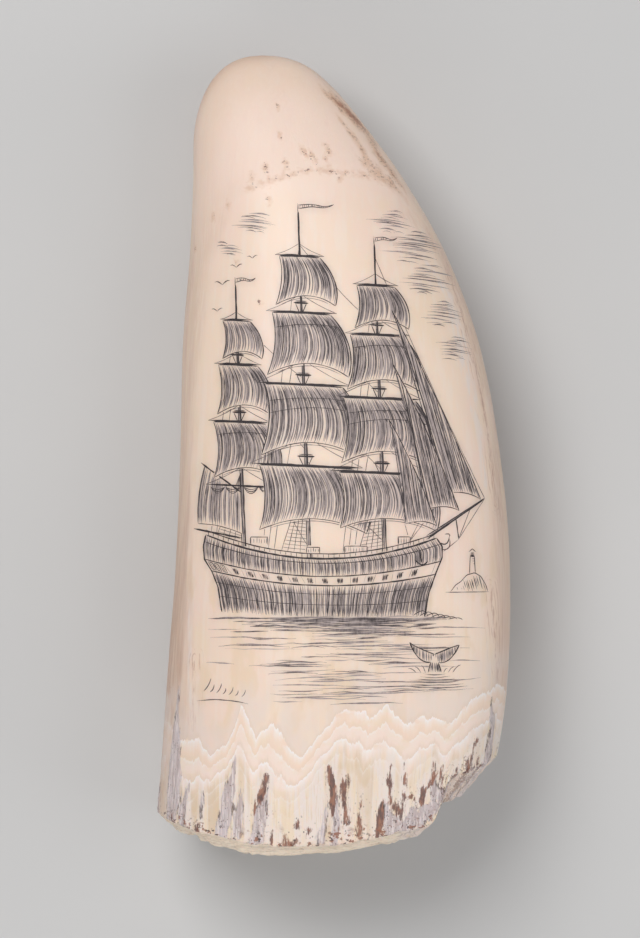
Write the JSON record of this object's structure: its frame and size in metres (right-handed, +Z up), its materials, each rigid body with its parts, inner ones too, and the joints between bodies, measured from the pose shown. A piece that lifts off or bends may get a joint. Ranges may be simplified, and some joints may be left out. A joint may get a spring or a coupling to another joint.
{
  "type": "scrimshaw whale tooth",
  "caption": "Curved ivory whale tooth with a rounded tip, a broken open root and a polished face engraved with a sailing ship; lies on its back as a loose ornament.",
  "frame": {"origin": "middle of the small worn flat on the tooth's back, on the surface that it lies on", "axes": "+Y along the tooth from the open root towards the tip, +Z up through the polished, engraved face, +X to the viewer's right across the tooth"},
  "size_m": [0.0701, 0.1592, 0.0457],
  "materials": {
    "polished_ivory": "satin"
  },
  "bodies": {
    "root": {"whale_tooth": "polished_ivory"}
  },
  "joints": []
}
